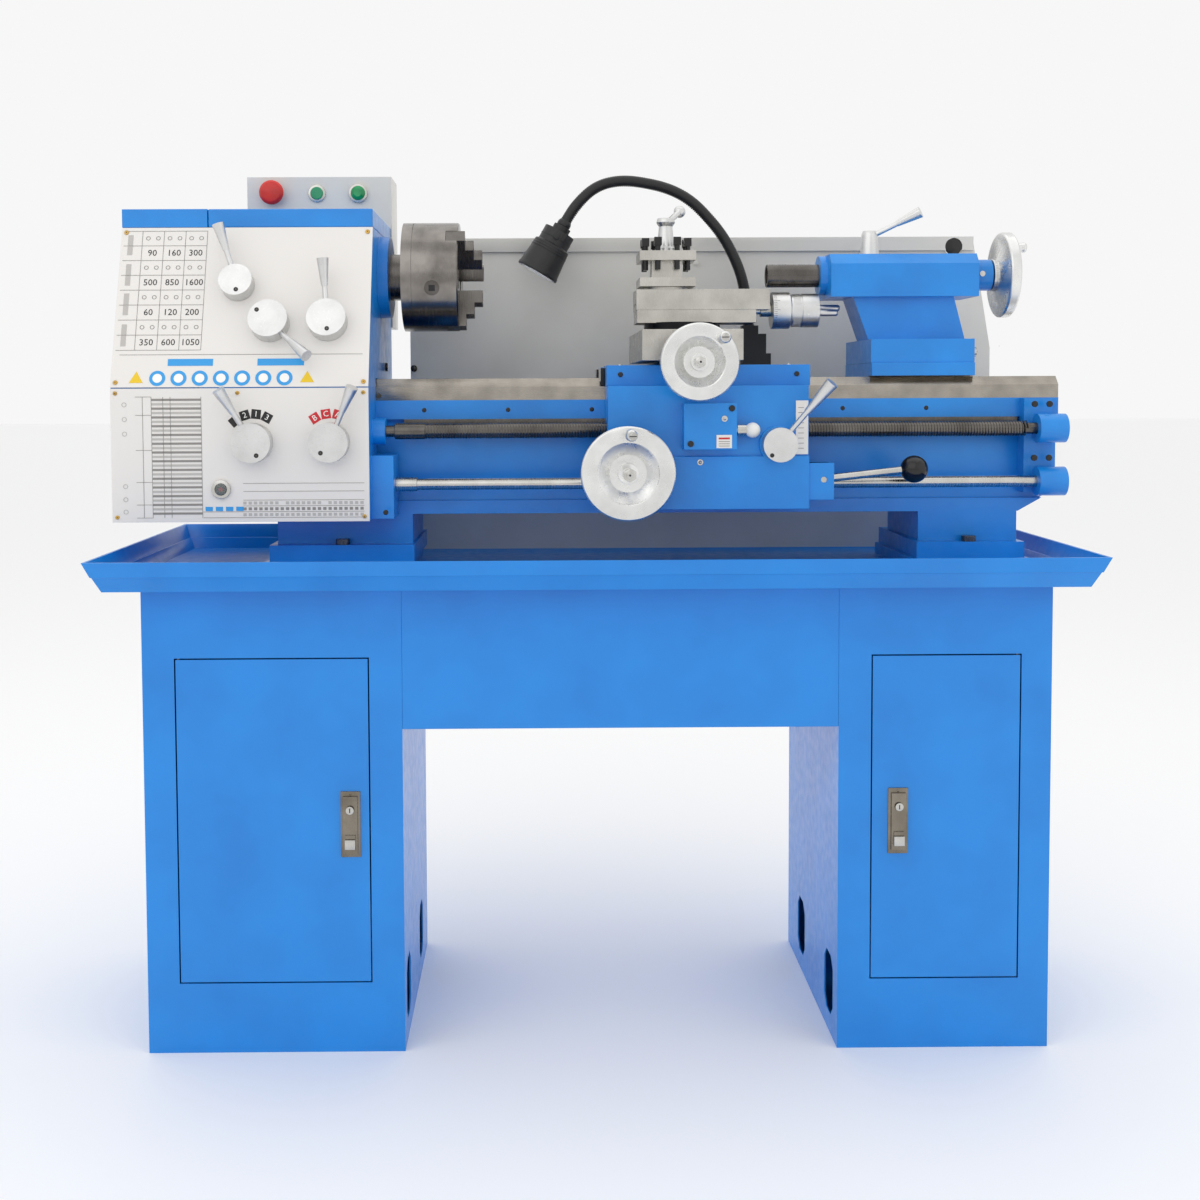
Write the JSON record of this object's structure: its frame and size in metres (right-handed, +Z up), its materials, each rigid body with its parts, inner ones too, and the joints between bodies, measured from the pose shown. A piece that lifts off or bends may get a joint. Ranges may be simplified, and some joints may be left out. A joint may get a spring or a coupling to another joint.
{
  "type": "metal lathe",
  "caption": "Bench-size engine lathe on a two-cabinet stand, with headstock, three-jaw chuck, carriage, tailstock, work lamp and splash guard.",
  "frame": {"origin": "centre of the chip tray's plan, on the floor", "axes": "+X from the headstock to the tailstock, +Y from the operator to the splash guard, +Z up"},
  "size_m": [1.34, 0.56, 1.237],
  "materials": {
    "blue_paint": "semi-gloss blue enamel",
    "tray_paint": "semi-gloss blue enamel",
    "cast_paint": "blue machine enamel on castings",
    "guard_paint": "light grey sheet-metal enamel",
    "fascia_plate": "satin light grey label plate",
    "ground_iron": "ground and scraped cast iron",
    "turned_steel": "turned steel",
    "chuck_steel": "ground steel",
    "satin_lever": "satin aluminium",
    "satin_wheel": "satin polished aluminium",
    "latch_metal": "bronze tinted chrome",
    "stop_red": "gloss red",
    "start_green": "gloss green",
    "motor_paint": "dark grey motor paint",
    "belt_rubber": "matt black",
    "lamp_black": "satin black"
  },
  "bodies": {
    "base": {"left_cabinet": "blue_paint", "right_cabinet": "blue_paint", "knee_panel": "blue_paint", "chip_tray": "tray_paint", "bed": "cast_paint", "rack": "ground_iron", "end_bracket": "cast_paint", "headstock": "cast_paint", "headstock_cover": "cast_paint", "upper_fascia": "fascia_plate", "feed_gearbox": "cast_paint", "lower_fascia": "fascia_plate", "electrical_box": "guard_paint", "splash_guard": "guard_paint", "main_motor": "motor_paint", "drive_belt": "belt_rubber", "bolts_and_pins": "turned_steel"},
    "left_door_body": {"left_door": "blue_paint"},
    "right_door_body": {"right_door": "blue_paint"},
    "left_latch_body": {"left_latch": "latch_metal"},
    "right_latch_body": {"right_latch": "latch_metal"},
    "cover_body": {"end_cover": "cast_paint"},
    "stop_body": {"stop_button": "stop_red"},
    "start_body": {"start_button": "start_green"},
    "spindle_body": {"spindle": "turned_steel", "chuck_body": "chuck_steel"},
    "jaw_1_body": {"chuck_jaw_1": "chuck_steel"},
    "jaw_2_body": {"chuck_jaw_2": "chuck_steel"},
    "jaw_3_body": {"chuck_jaw_3": "chuck_steel"},
    "input_body": {"input_pulley": "turned_steel"},
    "motor_shaft_body": {"motor_pulley": "turned_steel"},
    "idler_body": {"idler_gear": "turned_steel"},
    "leadscrew_body": {"leadscrew": "turned_steel"},
    "feed_rod_body": {"feed_rod": "turned_steel"},
    "range_body": {"range_lever": "satin_lever"},
    "speed_left_body": {"speed_lever_left": "satin_lever"},
    "speed_right_body": {"speed_lever_right": "satin_lever"},
    "feed_left_body": {"feed_lever_left": "satin_lever"},
    "feed_right_body": {"feed_lever_right": "satin_lever"},
    "carriage": {"saddle": "cast_paint", "apron": "cast_paint", "lamp_stem": "lamp_black"},
    "apron_wheel_body": {"apron_handwheel": "satin_wheel"},
    "half_nut_body": {"half_nut_lever": "satin_lever"},
    "selector_body": {"feed_selector": "turned_steel"},
    "control_body": {"control_lever": "turned_steel"},
    "lamp_body": {"lamp_head": "lamp_black"},
    "cross_body": {"cross_slide": "ground_iron"},
    "cross_wheel_body": {"cross_handwheel": "satin_wheel"},
    "swivel_body": {"compound_base": "ground_iron"},
    "top_slide_body": {"compound_slide": "ground_iron"},
    "crank_body": {"compound_crank": "satin_wheel"},
    "post_body": {"toolpost": "turned_steel", "toolpost_screws": "turned_steel"},
    "post_lever_body": {"toolpost_lever": "turned_steel"},
    "tailstock": {"tailstock_base": "cast_paint", "tailstock_body": "cast_paint"},
    "quill_body": {"quill": "turned_steel"},
    "tail_wheel_body": {"tailstock_handwheel": "satin_wheel"},
    "quill_lock_body": {"quill_lock": "satin_lever"}
  },
  "joints": [
    {"name": "left_door_hinge", "type": "hinge", "parent": "base", "child": "left_door_body", "pos_m": [-0.563, -0.2105, 0.319], "axis": [0, 0, -1], "range_deg": [0, 90]},
    {"name": "right_door_hinge", "type": "hinge", "parent": "base", "child": "right_door_body", "pos_m": [0.569, -0.2105, 0.319], "axis": [0, 0, 1], "range_deg": [0, 90]},
    {"name": "left_latch_hinge", "type": "hinge", "parent": "left_door_body", "child": "left_latch_body", "pos_m": [-0.333, -0.215, 0.354], "axis": [-1, 0, 0], "range_deg": [0, 60]},
    {"name": "right_latch_hinge", "type": "hinge", "parent": "right_door_body", "child": "right_latch_body", "pos_m": [0.408, -0.215, 0.354], "axis": [-1, 0, 0], "range_deg": [0, 60]},
    {"name": "end_cover_hinge", "type": "hinge", "parent": "base", "child": "cover_body", "pos_m": [-0.5415, 0.262, 0.81], "axis": [0, 0, -1], "range_deg": [0, 85]},
    {"name": "stop_press", "type": "slide", "parent": "base", "child": "stop_body", "axis": [0, 1, 0], "range_m": [0, 0.005]},
    {"name": "start_press", "type": "slide", "parent": "base", "child": "start_body", "axis": [0, 1, 0], "range_m": [0, 0.003]},
    {"name": "spindle_spin", "type": "hinge", "parent": "base", "child": "spindle_body", "pos_m": [-0.4, 0.025, 1.068], "axis": [1, 0, 0], "continuous": true},
    {"name": "jaw_1_travel", "type": "slide", "parent": "spindle_body", "child": "jaw_1_body", "axis": [0, -0.7071, 0.7071], "range_m": [-0.006, 0.01]},
    {"name": "jaw_2_travel", "type": "slide", "parent": "spindle_body", "child": "jaw_2_body", "axis": [0, -0.2588, -0.9659], "range_m": [-0.006, 0.01]},
    {"name": "jaw_3_travel", "type": "slide", "parent": "spindle_body", "child": "jaw_3_body", "axis": [0, 0.9659, 0.2588], "range_m": [-0.006, 0.01]},
    {"name": "idler_spin", "type": "hinge", "parent": "base", "child": "idler_body", "pos_m": [-0.565, -0.0195, 0.95183], "axis": [1, 0, 0], "continuous": true},
    {"name": "leadscrew_spin", "type": "hinge", "parent": "base", "child": "leadscrew_body", "pos_m": [-0.3, -0.105, 0.843], "axis": [1, 0, 0], "continuous": true},
    {"name": "feed_rod_spin", "type": "hinge", "parent": "base", "child": "feed_rod_body", "pos_m": [0, -0.105, 0.768], "axis": [1, 0, 0], "continuous": true},
    {"name": "input_spin", "type": "hinge", "parent": "base", "child": "input_body", "pos_m": [-0.57, 0.097, 0.985], "axis": [1, 0, 0], "continuous": true},
    {"name": "motor_spin", "type": "hinge", "parent": "base", "child": "motor_shaft_body", "pos_m": [-0.55, 0.195, 0.79], "axis": [1, 0, 0], "continuous": true},
    {"name": "range_turn", "type": "hinge", "parent": "base", "child": "range_body", "pos_m": [-0.494, -0.11337, 1.047], "axis": [0, -0.9474, 0.32], "range_deg": [-35, 35]},
    {"name": "speed_left_turn", "type": "hinge", "parent": "base", "child": "speed_left_body", "pos_m": [-0.447, -0.13161, 0.993], "axis": [0, -0.9474, 0.32], "range_deg": [-35, 8]},
    {"name": "speed_right_turn", "type": "hinge", "parent": "base", "child": "speed_right_body", "pos_m": [-0.367, -0.13128, 0.994], "axis": [0, -0.9474, 0.32], "range_deg": [-30, 30]},
    {"name": "feed_left_turn", "type": "hinge", "parent": "base", "child": "feed_left_body", "pos_m": [-0.467, -0.161, 0.83], "axis": [0, -1, 0], "range_deg": [-25, 25]},
    {"name": "feed_right_turn", "type": "hinge", "parent": "base", "child": "feed_right_body", "pos_m": [-0.362, -0.161, 0.83], "axis": [0, -1, 0], "range_deg": [-25, 25]},
    {"name": "carriage_travel", "type": "slide", "parent": "base", "child": "carriage", "axis": [1, 0, 0], "range_m": [-0.15, 0]},
    {"name": "apron_wheel_turn", "type": "hinge", "parent": "carriage", "child": "apron_wheel_body", "pos_m": [0.044, -0.165, 0.787], "axis": [0, 1, 0], "range_deg": [-2251, 1]},
    {"name": "half_nut_turn", "type": "hinge", "parent": "carriage", "child": "half_nut_body", "pos_m": [0.252, -0.165, 0.824], "axis": [0, 1, 0], "range_deg": [0, 35]},
    {"name": "selector_tilt", "type": "hinge", "parent": "carriage", "child": "selector_body", "pos_m": [0.176, -0.171, 0.844], "axis": [0, 1, 0], "range_deg": [-12, 12]},
    {"name": "control_tilt", "type": "hinge", "parent": "carriage", "child": "control_body", "pos_m": [0.316, -0.145, 0.775], "axis": [0, 1, 0], "range_deg": [-15, 15]},
    {"name": "lamp_tilt", "type": "hinge", "parent": "carriage", "child": "lamp_body", "pos_m": [-0.035, 0.155, 1.16], "axis": [0, 1, 0], "range_deg": [-20, 20]},
    {"name": "cross_travel", "type": "slide", "parent": "carriage", "child": "cross_body", "axis": [0, 1, 0], "range_m": [0, 0.065]},
    {"name": "cross_wheel_turn", "type": "hinge", "parent": "carriage", "child": "cross_wheel_body", "pos_m": [0.137, -0.149, 0.936], "axis": [0, 1, 0], "range_deg": [-1, 5851]},
    {"name": "compound_swivel", "type": "hinge", "parent": "cross_body", "child": "swivel_body", "pos_m": [0.137, 0.013, 0.99], "axis": [0, 0, -1], "range_deg": [-30, 45]},
    {"name": "compound_travel", "type": "slide", "parent": "swivel_body", "child": "top_slide_body", "axis": [-1, 0, 0], "range_m": [0, 0.025]},
    {"name": "crank_turn", "type": "hinge", "parent": "top_slide_body", "child": "crank_body", "pos_m": [0.269, 0.013, 1.016], "axis": [-1, 0, 0], "range_deg": [-1, 2251]},
    {"name": "post_index", "type": "hinge", "parent": "top_slide_body", "child": "post_body", "pos_m": [0.113, 0.013, 1.05], "axis": [0, 0, 1], "continuous": true},
    {"name": "post_lever_turn", "type": "hinge", "parent": "top_slide_body", "child": "post_lever_body", "pos_m": [0.113, 0.013, 1.11], "axis": [0, 0, 1], "range_deg": [-60, 30]},
    {"name": "tailstock_travel", "type": "slide", "parent": "base", "child": "tailstock", "axis": [1, 0, 0], "range_m": [0, 0.06]},
    {"name": "quill_travel", "type": "slide", "parent": "tailstock", "child": "quill_body", "axis": [-1, 0, 0], "range_m": [-0.06, 0.02]},
    {"name": "tail_wheel_turn", "type": "hinge", "parent": "tailstock", "child": "tail_wheel_body", "pos_m": [0.597, 0.025, 1.068], "axis": [-1, 0, 0], "range_deg": [-5400, 1800]},
    {"name": "quill_lock_turn", "type": "hinge", "parent": "tailstock", "child": "quill_lock_body", "pos_m": [0.418, 0.025, 1.097], "axis": [0, 0, 1], "range_deg": [-45, 45]}
  ],
  "couplings": [
    {"joint": "jaw_2_travel", "follows": "jaw_1_travel", "ratio": 1},
    {"joint": "jaw_3_travel", "follows": "jaw_1_travel", "ratio": 1},
    {"joint": "idler_spin", "follows": "spindle_spin", "ratio": -0.31915},
    {"joint": "leadscrew_spin", "follows": "spindle_spin", "ratio": 0.68182},
    {"joint": "feed_rod_spin", "follows": "spindle_spin", "ratio": 0.17045},
    {"joint": "input_spin", "follows": "spindle_spin", "ratio": -2},
    {"joint": "motor_spin", "follows": "spindle_spin", "ratio": -3.2353},
    {"joint": "apron_wheel_turn", "follows": "carriage_travel", "rad_per_m": 261.8},
    {"joint": "cross_wheel_turn", "follows": "cross_travel", "rad_per_m": 1570.8},
    {"joint": "crank_turn", "follows": "compound_travel", "rad_per_m": 1570.8},
    {"joint": "quill_travel", "follows": "tail_wheel_turn", "m_per_rad": 0.00063662}
  ]
}
